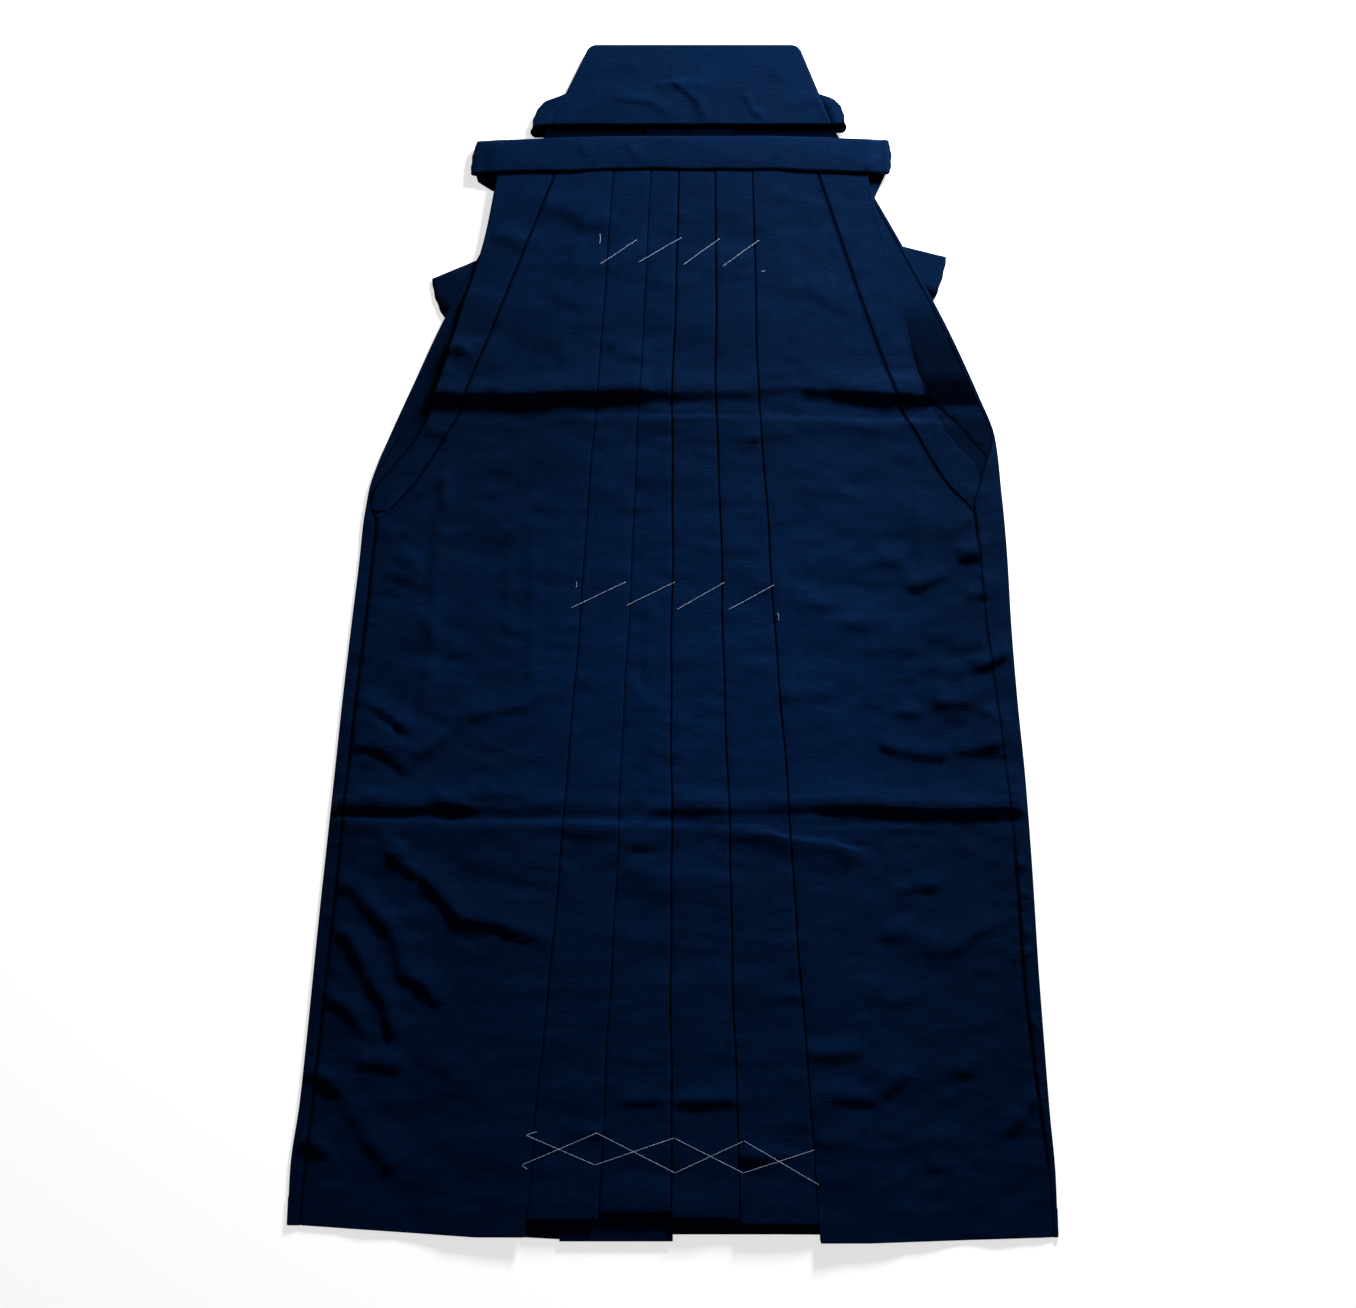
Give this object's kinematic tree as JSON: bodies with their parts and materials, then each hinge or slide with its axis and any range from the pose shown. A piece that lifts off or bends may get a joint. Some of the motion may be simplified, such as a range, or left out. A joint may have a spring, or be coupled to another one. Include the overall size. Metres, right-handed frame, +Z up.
{
  "type": "hakama trousers",
  "caption": "Pleated divided hakama trousers folded flat, front side up, with a waist band, a stiff back board and ties folded away behind.",
  "frame": {"origin": "under the middle of the garment's outline, on the surface it lies on", "axes": "+X towards the wearer's left, +Y from the hem towards the waist, +Z up from the surface through the front"},
  "size_m": [0.632, 1.0342, 0.0157],
  "materials": {
    "panel_cloth": "navy slubbed plain weave, soft low sheen",
    "band_cloth": "navy slubbed plain weave, folded double and pressed",
    "board_cloth": "navy slubbed plain weave drawn over a stiff board",
    "basting_thread": "white twisted cotton basting thread"
  },
  "bodies": {
    "root": {"front_right_panel": "panel_cloth", "front_left_panel": "panel_cloth", "side_right_strip": "panel_cloth", "side_left_strip": "panel_cloth", "back_right_panel": "panel_cloth", "back_left_panel": "panel_cloth", "front_band": "band_cloth", "front_tie_right": "band_cloth", "front_tie_left": "band_cloth", "back_tie_right": "band_cloth", "back_tie_left": "band_cloth", "back_board": "board_cloth"}
  },
  "joints": []
}
